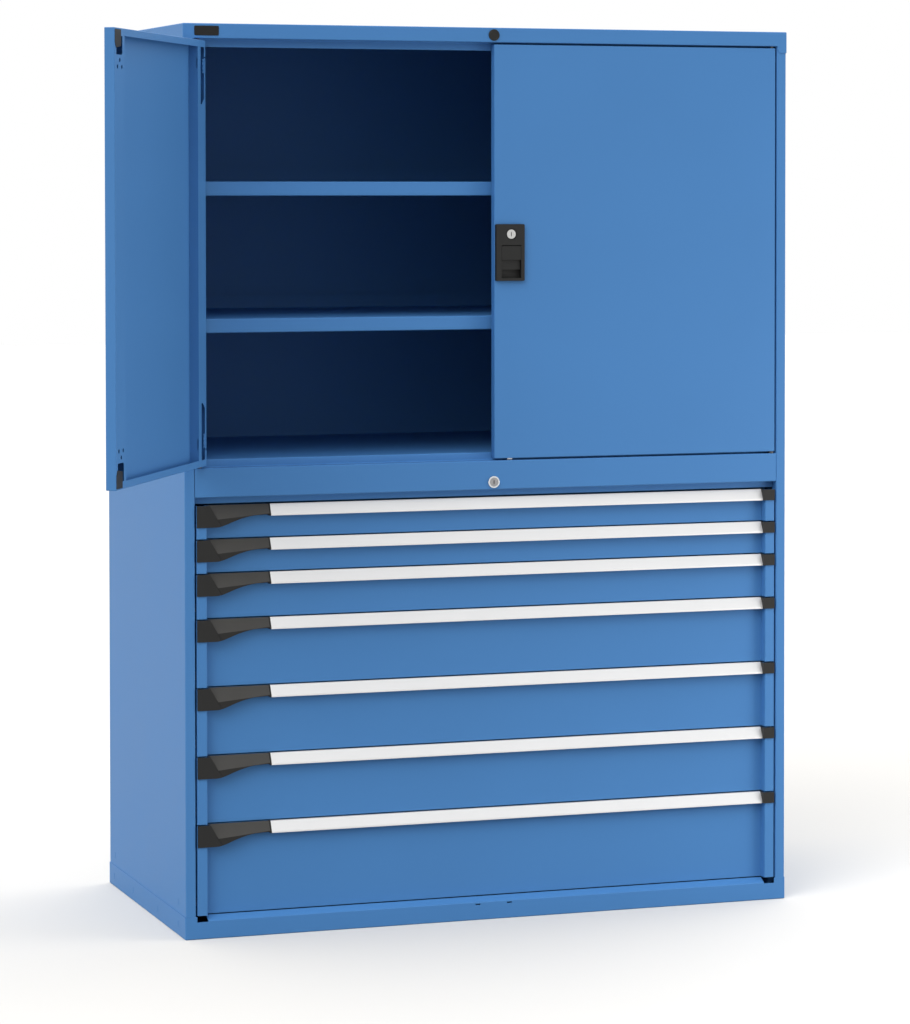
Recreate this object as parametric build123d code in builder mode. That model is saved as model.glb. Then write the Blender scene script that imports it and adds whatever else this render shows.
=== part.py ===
"""A steel tool cabinet: a two-door compartment with two shelves over a stack of seven drawers.

Millimetres. X runs across the cabinet, Y from front to back, Z up. The origin is the middle of the
base's underside. The left door stands open, the right door and all the drawers are shut.
"""

import math
import os

from build123d import *

os.makedirs("parts", exist_ok=True)

# ------------------------------------------------------------------ driving dimensions
width = 1425.0  # over the base tray and the top
depth = 720.0
height = 2000.0
sheet = 1.5  # carcass steel
light_sheet = 1.2  # doors, drawers and shelves
bend = 2.5  # outer radius of a fold
running_fit = 0.05  # radial clearance of pins and barrels
free_gap = 0.6  # clearance of pieces that move beside each other

base_height = 50.0
base_face = 40.0  # height of the front rail's upright face
top_depth = 48.0  # height of the top's walls
top_flange = 33.0  # height of the top's front flange
flange_width = 22.5  # the side panels' front flanges

door_gap = 4.0  # beside the doors, between them and beside the drawers
door_clearance = 4.5  # over and under the doors
door_thickness = 21.5
stop_gap = 2.5  # from a shut door's back to the strips behind it
door_open = 120.0  # degrees
hinge_inset = 7.0  # from the door's hinge edge
hinge_depth = 6.0  # behind the door's face
pin_radius = 4.0

drawer_pitches = (75.0, 75.0, 100.0, 150.0, 150.0, 150.0, 200.0)  # from the top down
drawers_bottom = 52.0
drawer_gap = 2.5
drawer_rear = 84.0  # behind the drawers
drawer_strip = 23.0  # flat strips at both ends of a drawer front
drawer_recess = 22.0  # depth of the drawer front's panel behind the strips

rail_clearance = 15.5  # between the drawer stack and the cross rail
rail_height = 65.0
floor_step = 17.5  # from the cross rail up to the compartment's floor

upright_gap = 4.0  # from the lock bar's guides to the front uprights
upright_rear = 50.0  # behind the rear uprights
upright_span = 40.0
slot_pitch = 25.0
bar_set_back = 4.0  # of the drawers' lock bar, behind the front's returns
bar_depth = 8.0
guide_gap = 1.0  # of its guides
guide_wall = 3.0
slot_start = 46.5  # middle of the uprights' lowest slots
shelf_names = ("shelf_lower", "shelf_upper")  # spaced evenly, to the nearest slot

# ------------------------------------------------------------------ places worked out from them
front = -depth / 2
rear = depth / 2
half_width = width / 2
side_outer = half_width - sheet
side_inner = side_outer - sheet
opening_half = side_outer - flange_width
upright_face = opening_half + sheet
return_depth = door_thickness + stop_gap  # how far flanges and plates turn in behind the front
door_edge = opening_half - door_gap
door_free = door_gap / 2
drawer_half = opening_half - door_gap
recess_half = drawer_half - drawer_strip
back_face = rear - 3 * sheet

stack_top = drawers_bottom + sum(drawer_pitches)
drawer_bottoms = [stack_top - sum(drawer_pitches[: n + 1]) for n in range(len(drawer_pitches))]
rail_bottom = stack_top + rail_clearance
ledge = rail_bottom + rail_height
compartment_floor = ledge + floor_step
opening_top = height - top_flange
door_bottom = ledge + door_clearance
door_top = opening_top - door_clearance
panel_top = height - sheet
hinge_x = door_edge - hinge_inset
hinge_y = front + hinge_depth
bar_front = front + return_depth + bar_set_back
bar_back = bar_front + bar_depth
arm_front = bar_front - guide_gap - guide_wall
arm_back = bar_back + guide_gap + guide_wall
upright_starts = (arm_back + upright_gap, rear - upright_rear - upright_span)
tray_back = rear - drawer_rear


# ------------------------------------------------------------------ ways of making
def block(x, y, z, mode=Mode.ADD):
    """A box between a low and a high value along each axis."""
    with Locations(((x[0] + x[1]) / 2, (y[0] + y[1]) / 2, (z[0] + z[1]) / 2)):
        Box(x[1] - x[0], y[1] - y[0], z[1] - z[0], mode=mode)


def bar(start, direction, radius, length, mode=Mode.ADD):
    """A round bar, or a round hole, from a point along a direction."""
    with BuildSketch(Plane(origin=start, z_dir=direction)) as end:
        Circle(radius)
    extrude(end.sketch, amount=length, mode=mode)


def folded(plane, points, thickness, length, radius=bend):
    """A sheet folded along a path, its metal on the path's left, run out square to the plane."""
    with BuildSketch(plane) as outline:
        with BuildLine():
            FilletPolyline(*points, radius=radius)
            offset(amount=thickness, side=Side.LEFT)
        make_face()
    extrude(outline.sketch, amount=length)


def prism(plane, points, length, mode=Mode.ADD):
    """A straight-sided outline run out square to its plane."""
    with BuildSketch(plane) as outline:
        with BuildLine():
            Polyline(*points, close=True)
        make_face()
    extrude(outline.sketch, amount=length, mode=mode)


def across(x):
    """The plane square to X at a place, with Y and Z as its own axes."""
    return Plane.YZ.offset(x)


def finish(piece, name):
    """Labels a piece and writes it."""
    piece.part.label = name
    export_step(piece.part, f"parts/{name}.step")


# ================================================================== carcass
# The base is a tray that wraps round the side panels. Its front rail leans back over the top into a
# lip, which stops short of the side panels and leaves a low notch at either end.
lip_depth = 20.0
lip_inset = 1.0  # from the ends of the drawers' recesses
notch_inset = 3.0  # from the side panels' flanges
lip_half = recess_half - lip_inset
notch_half = opening_half - notch_inset
notch_top = 38.0
mark_width = 4.0  # pressed weld marks
mark_height = 14.0
mark_depth = 0.5
mark_front = 63.0  # the outer marks, from the front and from the rear
mark_rear = 54.0
mark_spacing = 184.5
mark_outer = (mark_front, depth - mark_rear)  # behind the front
mark_places = (*mark_outer, mark_outer[0] + mark_spacing, mark_outer[1] - mark_spacing)
base_mark_middle = 24.5
panel_mark_middle = 74.0
rail_slot_place = 37.5
rail_slot_middle = 35.5
rail_slot_length = 12.0
rail_slot_height = 3.0


def weld_mark(surface, place, middle):
    """A shallow upright dent in the right-hand side of a piece."""
    block(
        (surface - mark_depth, surface + 1),
        (front + place - mark_width / 2, front + place + mark_width / 2),
        (middle - mark_height / 2, middle + mark_height / 2),
        Mode.SUBTRACT,
    )


with BuildPart() as base_tray:
    block((-half_width, half_width), (front, rear), (0, base_height))
    folds = base_tray.edges().filter_by(Axis.Z) + base_tray.edges().group_by(Axis.Z)[0]
    fillet(folds, bend)
    offset(amount=-sheet, openings=base_tray.faces().sort_by(Axis.Z)[-1])
    block(
        (-notch_half, notch_half),
        (front - 1, front + bend),
        (notch_top, base_height + 1),
        Mode.SUBTRACT,
    )
    lip_path = (
        (front + lip_depth, base_height),
        (front, base_face),
        (front, base_height / 2),
    )
    folded(across(-lip_half), lip_path, sheet, 2 * lip_half)
    for place in mark_places:
        weld_mark(half_width, place, base_mark_middle)
    with BuildSketch(Plane.XZ.offset(-front)) as rail_slot:
        with Locations((rail_slot_place, rail_slot_middle)):
            SlotOverall(rail_slot_length, rail_slot_height)
    extrude(rail_slot.sketch, amount=-sheet, mode=Mode.SUBTRACT)
    split(bisect_by=Plane.YZ)
    mirror(about=Plane.YZ)
finish(base_tray, "base_tray")

# Each side panel is folded at the front into a flange with a return, and at the back into a flange.
# Two brackets inside steer the drawer lock's bar, which may be fitted on either side.
rear_flange = 25.0
rim_gap = 0.2  # over the tray's rim
panel_bottom = bend  # clear of the folds inside the tray and the top
bar_inner = upright_face + 0.5
bar_outer = side_inner - 7.5
guide_inset = (148.0, 52.0)  # the brackets, above the drawers' foot and below their top
guide_places = (drawers_bottom + guide_inset[0], stack_top - guide_inset[1])
guide_height = 20.0

with BuildPart() as side_panel_right:
    panel_path = (
        (opening_half, front + return_depth),
        (opening_half, front),
        (side_outer, front),
        (side_outer, rear - sheet),
        (side_outer - rear_flange, rear - sheet),
    )
    folded(Plane.XY.offset(panel_bottom), panel_path, sheet, height - 2 * panel_bottom)
    block(
        (opening_half - 1, side_outer + 1),
        (front - 1, front + return_depth + bend),
        (0, base_height + rim_gap),
        Mode.SUBTRACT,
    )
    for place in mark_outer:
        weld_mark(side_outer, place, panel_mark_middle)
    for place in guide_places:
        span = (place, place + guide_height)
        block((bar_outer + guide_gap, side_inner), (arm_front, arm_back), span)
        block((bar_inner, bar_outer + guide_gap), (arm_front, arm_front + guide_wall), span)
        block((bar_inner, bar_outer + guide_gap), (arm_back - guide_wall, arm_back), span)
finish(side_panel_right, "side_panel_right")

with BuildPart() as side_panel_left:
    mirror(side_panel_right.part, about=Plane.YZ)
finish(side_panel_left, "side_panel_left")

back_half = side_inner - 1.0

with BuildPart() as back_panel:
    block((-back_half, back_half), (back_face, back_face + sheet), (sheet, panel_top))
finish(back_panel, "back_panel")

# The top is a tray turned over the side panels. Its front flange folds back into the plate that the
# doors' pins hang in, and ends in the strip that the doors close against.
ear_half = opening_half + 1.5
ear_round = 10.0
stop_half = opening_half - 1.7
stop_height = 19.0
stop_bottom = opening_top - stop_height + sheet

with BuildPart() as top_panel:
    block((-half_width, half_width), (front - sheet, rear), (height - top_depth, height))
    folds = top_panel.edges().filter_by(Axis.Z) + top_panel.edges().group_by(Axis.Z)[-1]
    fillet(folds, bend)
    offset(amount=-sheet, openings=top_panel.faces().sort_by(Axis.Z)[0])
    flange_span = (front - sheet - 1, front + bend)
    block((-ear_half, ear_half), flange_span, (height - top_depth - 1, opening_top), Mode.SUBTRACT)
    block((-stop_half, stop_half), flange_span, (opening_top - 1, opening_top + bend), Mode.SUBTRACT)
    ear_corners = (
        top_panel.edges()
        .filter_by(Axis.Y)
        .filter_by_position(Axis.X, -ear_half - 0.1, ear_half + 0.1)
        .group_by(Axis.Z)[0]
    )
    fillet(ear_corners, ear_round)
    stop_path = (
        (front - sheet, height - top_flange / 2),
        (front - sheet, opening_top),
        (front + return_depth, opening_top),
        (front + return_depth, stop_bottom),
    )
    folded(across(-stop_half), stop_path, sheet, 2 * stop_half)
    for side in (-1, 1):
        pin_foot = (side * hinge_x, hinge_y, opening_top - 1)
        bar(pin_foot, (0, 0, 1), pin_radius, 2 * sheet, Mode.SUBTRACT)
finish(top_panel, "top_panel")

# One folded sheet is the compartment's floor, the doors' step, the cross rail and the strip behind it.
deck_half = opening_half - 0.5
strip_gap = 1.0  # over the top drawer's back
strip_height = rail_clearance - strip_gap
lock_z = rail_bottom + 17.0
barrel_radius = 11.0
wing_front = front + return_depth + 2.0
notch_gap = 0.5

with BuildPart() as middle_deck:
    deck_path = (
        (back_face, compartment_floor),
        (front + return_depth, compartment_floor),
        (front + return_depth, ledge),
        (front, ledge),
        (front, rail_bottom),
        (front + drawer_recess, rail_bottom),
        (front + drawer_recess, rail_bottom - strip_height),
    )
    folded(across(-deck_half), deck_path, sheet, 2 * deck_half)
    floor_metal = (compartment_floor - sheet, compartment_floor)
    for side in (-1, 1):
        block(sorted((side * deck_half, side * side_inner)), (wing_front, back_face), floor_metal)
        for start in upright_starts:
            block(
                sorted((side * (upright_face - notch_gap), side * (side_inner + 1))),
                (start - notch_gap, start + upright_span + notch_gap),
                (compartment_floor - 2 * sheet, compartment_floor + 1),
                Mode.SUBTRACT,
            )
        pin_foot = (side * hinge_x, hinge_y, ledge - 2 * sheet)
        bar(pin_foot, (0, 0, 1), pin_radius, 3 * sheet, Mode.SUBTRACT)
    barrel_foot = (0, front - 1, lock_z)
    bar(barrel_foot, (0, 1, 0), barrel_radius + running_fit, bend + 1, Mode.SUBTRACT)
finish(middle_deck, "middle_deck")

# Four slotted posts stand inside the side panels and carry the shelves and the drawers' rails.
slot_height = 10.0
slot_width = 4.0
slot_count = int((panel_top - slot_start - slot_height) / slot_pitch) + 1

with BuildPart() as slotted_uprights:
    for start in upright_starts:
        post_path = (
            (side_inner, start + upright_span),
            (upright_face, start + upright_span),
            (upright_face, start),
            (side_inner, start),
        )
        folded(Plane.XY.offset(sheet), post_path, sheet, panel_top - sheet)
        with BuildSketch(across(upright_face)) as post_slots:
            with Locations((start + upright_span / 2, slot_start + (slot_count - 1) * slot_pitch / 2)):
                with GridLocations(slot_width, slot_pitch, 1, slot_count):
                    Rectangle(slot_width, slot_height)
        extrude(post_slots.sketch, amount=sheet, mode=Mode.SUBTRACT)
    mirror(about=Plane.YZ)
finish(slotted_uprights, "slotted_uprights")

# The shelves are folded sheets with a deep front lip and an upstand at the back. Tabs on their side
# flanges hook into the uprights' slots.
shelf_front = front + 32.0
shelf_rear = rear - 30.0
shelf_lip = 31.0
shelf_lip_return = 12.0
shelf_upstand = 30.0
shelf_side = 20.0
shelf_over_slot = 10.0
tab_length = 4.0
tab_width = 3.0
tab_height = 8.0
shelf_spacing = (opening_top - compartment_floor) / (len(shelf_names) + 1)

for number, name in enumerate(shelf_names, 1):
    wanted_slot = compartment_floor + number * shelf_spacing - shelf_over_slot
    slot = round((wanted_slot - slot_start) / slot_pitch)
    tab_bottom = slot_start + slot * slot_pitch - slot_height / 2
    shelf_top = tab_bottom + slot_height / 2 + shelf_over_slot
    with BuildPart() as shelf:
        shelf_path = (
            (shelf_rear, shelf_top + shelf_upstand),
            (shelf_rear, shelf_top),
            (shelf_front, shelf_top),
            (shelf_front, shelf_top - shelf_lip),
            (shelf_front + shelf_lip_return, shelf_top - shelf_lip),
        )
        folded(across(-opening_half), shelf_path, light_sheet, 2 * opening_half)
        for side in (-1, 1):
            block(
                sorted((side * (opening_half - light_sheet), side * opening_half)),
                (shelf_front + bend, shelf_rear),
                (shelf_top - shelf_side, shelf_top - light_sheet),
            )
            for start in upright_starts:
                middle = start + upright_span / 2
                block(
                    sorted((side * opening_half, side * (opening_half + tab_length))),
                    (middle - tab_width / 2, middle + tab_width / 2),
                    (tab_bottom, tab_bottom + tab_height),
                )
    finish(shelf, name)

# Fixed outer members of the drawers' slides, one pair a drawer.
slide_low = 7.0  # above the drawer's bottom
slide_height = 22.0
slide_sheet = 1.5
rail_reach = 9.0  # how far the fixed members stand out from the uprights
rail_web = upright_face - slide_sheet
rail_span = (upright_starts[0], upright_starts[1] + upright_span)

with BuildPart() as drawer_rails:
    for bottom in drawer_bottoms:
        low = bottom + slide_low
        high = low + slide_height
        lip = (upright_face - rail_reach, rail_web)
        block((rail_web, upright_face), rail_span, (low, high))
        block(lip, rail_span, (low, low + slide_sheet))
        block(lip, rail_span, (high - slide_sheet, high))
    mirror(about=Plane.YZ)
finish(drawer_rails, "drawer_rails")

# ================================================================== drawers
# A tray is open at the top. Its front is a deep recess between two flat strips; its sides carry the
# inner slide members, and its right side the lug that the lock's hooks stand in front of.
side_drop = 15.0  # from the pitch line down to the sides' top edge
floor_lift = 3.0
strip_return = 12.0
rim_width = 8.0
slide_span = (front + 30.0, tray_back - 6.0)
slide_lip = 6.8  # the inner members' flanges
member_gap = 1.0  # between a slide's members, up and down
lock_lift = 12.0
hook_low = 34.0  # above the drawer's bottom
hook_height = 10.0
lug_low = hook_low + hook_height + 4.0
lug_height = 8.0
lug_gap = 2.5  # beside the opening's edge
lug_reach = opening_half - lug_gap
lug_span = (bar_back + 4.0, bar_back + 10.0)
side_face = recess_half + light_sheet
inner_member = side_face + slide_sheet
panel_back = front + drawer_recess + light_sheet

for number, (bottom, pitch) in enumerate(zip(drawer_bottoms, drawer_pitches), 1):
    strip_top = bottom + pitch - drawer_gap
    side_bottom = bottom + floor_lift
    side_top = bottom + pitch - side_drop
    low = bottom + slide_low
    high = low + slide_height
    with BuildPart() as tray:
        side_path = (
            (recess_half, tray_back),
            (recess_half, front),
            (drawer_half, front),
            (drawer_half, front + strip_return),
        )
        folded(Plane.XY.offset(bottom), side_path, light_sheet, strip_top - bottom)
        over_side = (recess_half - 1, side_face + 1)
        behind_panel = (panel_back, tray_back + 1)
        block(over_side, behind_panel, (side_top, strip_top + 1), Mode.SUBTRACT)
        block(over_side, behind_panel, (bottom - 1, side_bottom), Mode.SUBTRACT)
        rim = (side_face, side_face + rim_width)
        block(rim, (panel_back, tray_back), (side_top - light_sheet, side_top))
        block((side_face, inner_member), slide_span, (low, high))
        flange = (inner_member, inner_member + slide_lip)
        block(flange, slide_span, (low, low + slide_sheet))
        block(flange, slide_span, (high - slide_sheet, high))
        mirror(about=Plane.YZ)
        across_tray = (-recess_half, recess_half)
        block(across_tray, (front + drawer_recess, panel_back), (bottom, strip_top))
        block(across_tray, (panel_back, tray_back), (side_bottom, side_bottom + light_sheet))
        block(across_tray, (tray_back - light_sheet, tray_back), (side_bottom, side_top))
        block((side_face, lug_reach), lug_span, (bottom + lug_low, bottom + lug_low + lug_height))
    finish(tray, f"drawer_{number}_tray")

# The middle members of the slides run between the fixed and the inner ones.
middle_shift = 20.0  # behind the inner members
middle_span = (slide_span[0] + middle_shift, slide_span[1] + middle_shift)
head_width = 6.0
head_gap = 1.3  # from the webs of the fixed and the inner members
inner_head = (inner_member + head_gap, inner_member + head_gap + head_width)
outer_head = (rail_web - head_gap - head_width, rail_web - head_gap)

for number, bottom in enumerate(drawer_bottoms, 1):
    low = bottom + slide_low + slide_sheet + member_gap
    high = bottom + slide_low + slide_height - slide_sheet - member_gap
    web_inset = (high - low) / 3
    with BuildPart() as slides:
        block(inner_head, middle_span, (low, high))
        block(outer_head, middle_span, (low, high))
        block((inner_head[1], outer_head[0]), middle_span, (low + web_inset, high - web_inset))
        mirror(about=Plane.YZ)
    finish(slides, f"drawer_{number}_slides")

# The pull is an extrusion that slopes forward and down from the panel to a hooked lip. Its outline is
# in Y behind the front and Z from the drawer's pitch line.
pull_outline = (
    (drawer_recess, -drawer_gap),
    (15.0, -drawer_gap),
    (3.5, -24.0),
    (3.5, -28.0),
    (6.0, -28.0),
    (6.0, -25.0),
    (16.5, -5.0),
    (drawer_recess, -5.0),
)
pull_edge = 0.4
end_plate = 3.2  # the black plate at the pull's left end
end_rib = 4.5  # and the one at its right end
cap_reach = 3.0  # how far the end caps stand in front of the strips
cap_bottom = -27.5
pull_right = recess_half - end_rib
latch_left = -recess_half
latch_right = latch_left + 142.5
pull_left = latch_right + free_gap + end_plate

# The latch lever fills the pull's place at the left. A fixed cap covers the strip beside it; the two
# meet along a slanting line.
latch_bottom = -50.0
seam_top = (latch_left + 5.5, -drawer_gap)
seam_bottom = (latch_left + 33.8, latch_bottom)
curve_start = (latch_left + 18.5, latch_bottom)
curve_points = (
    (latch_left + 39.5, -46.0),
    (latch_left + 66.5, -36.0),
    (latch_left + 96.5, -28.0),
    (latch_right, -24.6),
)
lever_wall = 2.5
lever_back = 20.0
pivot = (17.0, -7.0)  # Y behind the front and Z from the pitch line
stub_radius = 2.0
stub_reach = 2.0  # into the ribs beside the lever
stub_hole = 10.0
rib_inner = seam_top[0] - free_gap
facet_top = 15.0  # how far back the facet's upper edge lies
facet_slope = 0.6
flat_right = latch_left + 25.5  # where the lever's face starts to lean back
face_set_back = 3.0  # behind the front at the lever's right end
hollow_top = -12.0  # the fingers' room behind the facet and the lever's lip
facet_wall = 4.0
lip_back = 6.0


def latch_outline(plane):
    """The cap's and the lever's common front view: straight on top, a curve sweeping up below."""
    with BuildSketch(plane) as outline:
        with BuildLine():
            Polyline(
                curve_start,
                (-drawer_half, latch_bottom),
                (-drawer_half, -drawer_gap),
                (latch_right, -drawer_gap),
                (latch_right, curve_points[-1][1]),
            )
            Spline(curve_start, *curve_points, tangents=((1, 0), (1, 0.05)))
        make_face()
    return outline.sketch


def beside_seam(side, gap):
    """The flat region on one side of the seam, to be cut away, with a gap towards the other."""
    top = (seam_top[0] + gap, seam_top[1] + 1)
    low = (seam_bottom[0] + gap, seam_bottom[1] - 1)
    far = side * drawer_half
    return top, low, (far, low[1]), (far, top[1])


# One pull, one set of caps and one lever, in a frame whose origin lies on the front at the pitch line.
front_view = Plane.XZ
with BuildPart() as pull:
    with BuildSketch(across(pull_left)) as section:
        with BuildLine():
            Polyline(*pull_outline, close=True)
        make_face()
        fillet(section.vertices(), pull_edge)
    extrude(section.sketch, amount=pull_right - pull_left)

with BuildPart() as caps:
    # the left cap: a slanted plate and the rib that holds the lever's stub
    extrude(latch_outline(front_view), amount=cap_reach)
    prism(front_view, beside_seam(1, 0), cap_reach, Mode.SUBTRACT)
    fillet(caps.edges().filter_by(Axis.Z).sort_by(Axis.X)[0:1], 1.0)
    rib_face = [(0, -drawer_gap), (drawer_recess, -drawer_gap), (drawer_recess, cap_bottom), (0, cap_bottom)]
    prism(across(latch_left), rib_face, rib_inner - latch_left)
    stub_bore = stub_radius + running_fit
    bar((latch_left, *pivot), (1, 0, 0), stub_bore, stub_hole, Mode.SUBTRACT)
    # the plates at both ends of the pull, shaped as its filled outline
    plate_outline = (*pull_outline[:4], (drawer_recess, pull_outline[3][1]))
    prism(across(latch_right + free_gap), plate_outline, end_plate)
    bar((latch_right, *pivot), (1, 0, 0), stub_bore, stub_hole, Mode.SUBTRACT)
    prism(across(pull_right), rib_face, recess_half - pull_right)
    # the right cap in front of the strip
    block((pull_right, drawer_half), (-cap_reach, 0), (cap_bottom, -drawer_gap))
    fillet(caps.edges().filter_by(Axis.Z).sort_by(Axis.X)[-1:], 1.0)

with BuildPart() as latch:
    extrude(latch_outline(front_view), amount=cap_reach)
    extrude(latch_outline(front_view), amount=-lever_back)
    prism(front_view.offset(-lever_back), beside_seam(-1, free_gap), lever_back + cap_reach, Mode.SUBTRACT)
    lean = (
        (flat_right, -cap_reach),
        (latch_right, face_set_back),
        (latch_right + 1, face_set_back),
        (latch_right + 1, -cap_reach - 1),
        (flat_right, -cap_reach - 1),
    )
    prism(Plane.XY.offset(latch_bottom - 1), lean, -latch_bottom, Mode.SUBTRACT)
    facet_run = (facet_top + cap_reach + 1) / facet_slope
    facet = (
        (facet_top, -drawer_gap),
        (facet_top, 1),
        (-cap_reach - 1, 1),
        (-cap_reach - 1, -drawer_gap - facet_run),
    )
    prism(across(-drawer_half), facet, latch_right + 1 + drawer_half, Mode.SUBTRACT)
    offset(amount=-lever_wall, openings=latch.faces().sort_by(Axis.Y)[-1])
    hollow = (
        (lever_back + 1, hollow_top),
        (facet_top + facet_slope * (hollow_top + drawer_gap) + facet_wall, hollow_top),
        (lip_back, (lip_back - facet_top - facet_wall) / facet_slope - drawer_gap),
        (lip_back, latch_bottom - 1),
        (lever_back + 1, latch_bottom - 1),
    )
    prism(across(seam_top[0]), hollow, latch_right + 1 - seam_top[0], Mode.SUBTRACT)
    stub_root = seam_top[0] + 2 * lever_wall
    stub_end = rib_inner - stub_reach
    bar((stub_end, *pivot), (1, 0, 0), stub_radius, stub_root - stub_end)
    stub_root = latch_right - lever_wall / 2
    stub_end = latch_right + free_gap + stub_reach
    bar((stub_root, *pivot), (1, 0, 0), stub_radius, stub_end - stub_root)

for number, (bottom, pitch) in enumerate(zip(drawer_bottoms, drawer_pitches), 1):
    at_drawer = Location((0, front, bottom + pitch))
    for piece, kind in ((pull, "handle"), (caps, "caps"), (latch, "latch")):
        with BuildPart() as placed:
            add(piece.part.moved(at_drawer))
        finish(placed, f"drawer_{number}_{kind}")

# ================================================================== doors
# A door is a pan of light sheet. Box sections stiffen its hinge edge and its free edge, and narrow
# lips its top and bottom. It is drawn shut, as the right-hand door.
door_round = 1.5
hinge_box = 62.0
free_box = 70.0
door_lip = 15.0
sleeve_width = 14.0  # blocks inside the hinge box that the pins turn in
sleeve_height = 20.0
cutout_width = (11.0, 40.0)  # from the hinge edge
cutout_height = (15.0, 139.0)  # from the door's end
cutout_bevel = (19.0, 12.0)  # across the door and along it, on the hinge side
slit_height = (36.0, 38.5)  # a slit from the cut-out to the hinge edge
leaf_height = (41.0, 71.0)  # a leaf in the cut-out, with round bites in its edge
leaf_reach = 9.0
leaf_lap = 5.0  # under the door's back sheet
leaf_bites = 3
leaf_bite_radius = 3.2
wall_slot_height = (40.0, 61.5)  # a slot in the hinge box's inner wall
wall_slot_depth = (1.2, 3.5)  # in front of the door's back
relief_radius = 2.5  # a hole in the wall's corner
relief_place = 5.0  # from the skin and from the lip
guide_back = 4.0  # depth of the guides, from just behind the door's back inwards
guide_proud = 0.8
corner_top = ((door_round, 30.0), (door_round, 3.0), (43.0, 3.0))  # from the free edge and the end
corner_right = ((43.0, 16.0), (55.0, 16.0), (55.0, 49.5), (51.0, 53.5), (12.0, 53.5))
corner_low = ((12.0, 40.0), (8.0, 40.0))
guide_outline = (*corner_top, (43.0, 36.0), *corner_low)
corner_outline = (*corner_top, *corner_right, *corner_low)
peep_holes = ((36.6, 64.4), (20.4, 77.9), (50.4, 77.7))
peep_radius = 4.5
door_back = front + door_thickness
door_skin_back = front + light_sheet
door_sheet_front = door_back - light_sheet
door_middle = (door_bottom + door_top) / 2
back_view = Plane(origin=(0, door_back, 0), x_dir=(1, 0, 0), z_dir=(0, -1, 0))


def at_corner(points):
    """Places given from the free edge and the top, as X and Z of the right-hand door."""
    return [(door_free + across_door, door_top - down) for across_door, down in points]


def door_pan(door):
    """The pan with its boxes, lips, hinge sleeves and cut-outs, alike at top and bottom."""
    block((door_free, door_edge), (front, door_back), (door_bottom, door_top))
    fillet(door.edges(), door_round)
    inside = (door_skin_back, door_sheet_front)
    inner_span = (door_bottom + light_sheet, door_top - light_sheet)
    hinge_wall = door_edge - hinge_box
    free_wall = door_free + free_box
    block((hinge_wall + light_sheet, door_edge - light_sheet), inside, inner_span, Mode.SUBTRACT)
    block((door_free + light_sheet, free_wall - light_sheet), inside, inner_span, Mode.SUBTRACT)
    block((free_wall, hinge_wall), inside, inner_span, Mode.SUBTRACT)
    lip_span = (door_bottom + door_lip, door_top - door_lip)
    block((free_wall, hinge_wall), (door_skin_back, door_back + 1), lip_span, Mode.SUBTRACT)
    for end, inward in ((door_top, -1), (door_bottom, 1)):
        sleeve = sorted((end + inward * light_sheet, end + inward * sleeve_height))
        sleeve_y = (door_skin_back, front + 2 * hinge_depth)
        block((door_edge - sleeve_width, door_edge - light_sheet), sleeve_y, sleeve)
        bore = pin_radius + running_fit
        bar((hinge_x, hinge_y, end - inward), (0, 0, inward), bore, sleeve_height + 2, Mode.SUBTRACT)
        near, far = (door_edge - across_box for across_box in cutout_width)
        start, stop = (end + inward * along for along in cutout_height)
        bevel = (near - cutout_bevel[0], stop - inward * cutout_bevel[1])
        cut = ((near, start), (far, start), (far, stop), (bevel[0], stop), (near, bevel[1]))
        prism(back_view.offset(-1), cut, light_sheet + 2, Mode.SUBTRACT)
        slit = sorted(end + inward * along for along in slit_height)
        block((near - 1, door_edge + 1), (door_sheet_front, door_back + 1), slit, Mode.SUBTRACT)
        leaf = sorted(end + inward * along for along in leaf_height)
        leaf_y = (door_sheet_front - light_sheet, door_sheet_front)
        block((near - leaf_reach, near + leaf_lap), leaf_y, leaf)
        bite_pitch = (leaf[1] - leaf[0]) / leaf_bites
        for bite in range(leaf_bites):
            place = (near - leaf_reach, door_back + 1, leaf[0] + (bite + 0.5) * bite_pitch)
            bar(place, (0, -1, 0), leaf_bite_radius, 2 * light_sheet + 2, Mode.SUBTRACT)
        wall_slot = sorted(end + inward * along for along in wall_slot_height)
        slot_y = (door_back - wall_slot_depth[1], door_back - wall_slot_depth[0])
        block((hinge_wall - 1, hinge_wall + light_sheet + 1), slot_y, wall_slot, Mode.SUBTRACT)
        relief = (hinge_wall - 1, door_skin_back + relief_place, end + inward * (light_sheet + relief_place))
        bar(relief, (1, 0, 0), relief_radius, light_sheet + 2, Mode.SUBTRACT)
        flip = 1 if inward < 0 else -1
        for outline_x, outline_z in at_corner(peep_holes):
            place = (outline_x, door_back + 1, door_middle + flip * (outline_z - door_middle))
            bar(place, (0, -1, 0), peep_radius, light_sheet + 2, Mode.SUBTRACT)
    corners = corner_pieces(corner_outline, light_sheet + guide_proud)
    add(corners, mode=Mode.SUBTRACT)


def corner_pieces(points, thickness):
    """Flat pieces of one outline in the free edge's two back corners, their backs just proud."""
    with BuildPart() as pieces:
        prism(back_view.offset(-guide_proud), at_corner(points), thickness)
        mirror(about=Plane.XY.offset(door_middle))
    return pieces.part


# Black corner guides fill the upper part of the openings in the free edge's corners.
with BuildPart() as guides:
    add(corner_pieces(guide_outline, guide_back))

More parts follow.
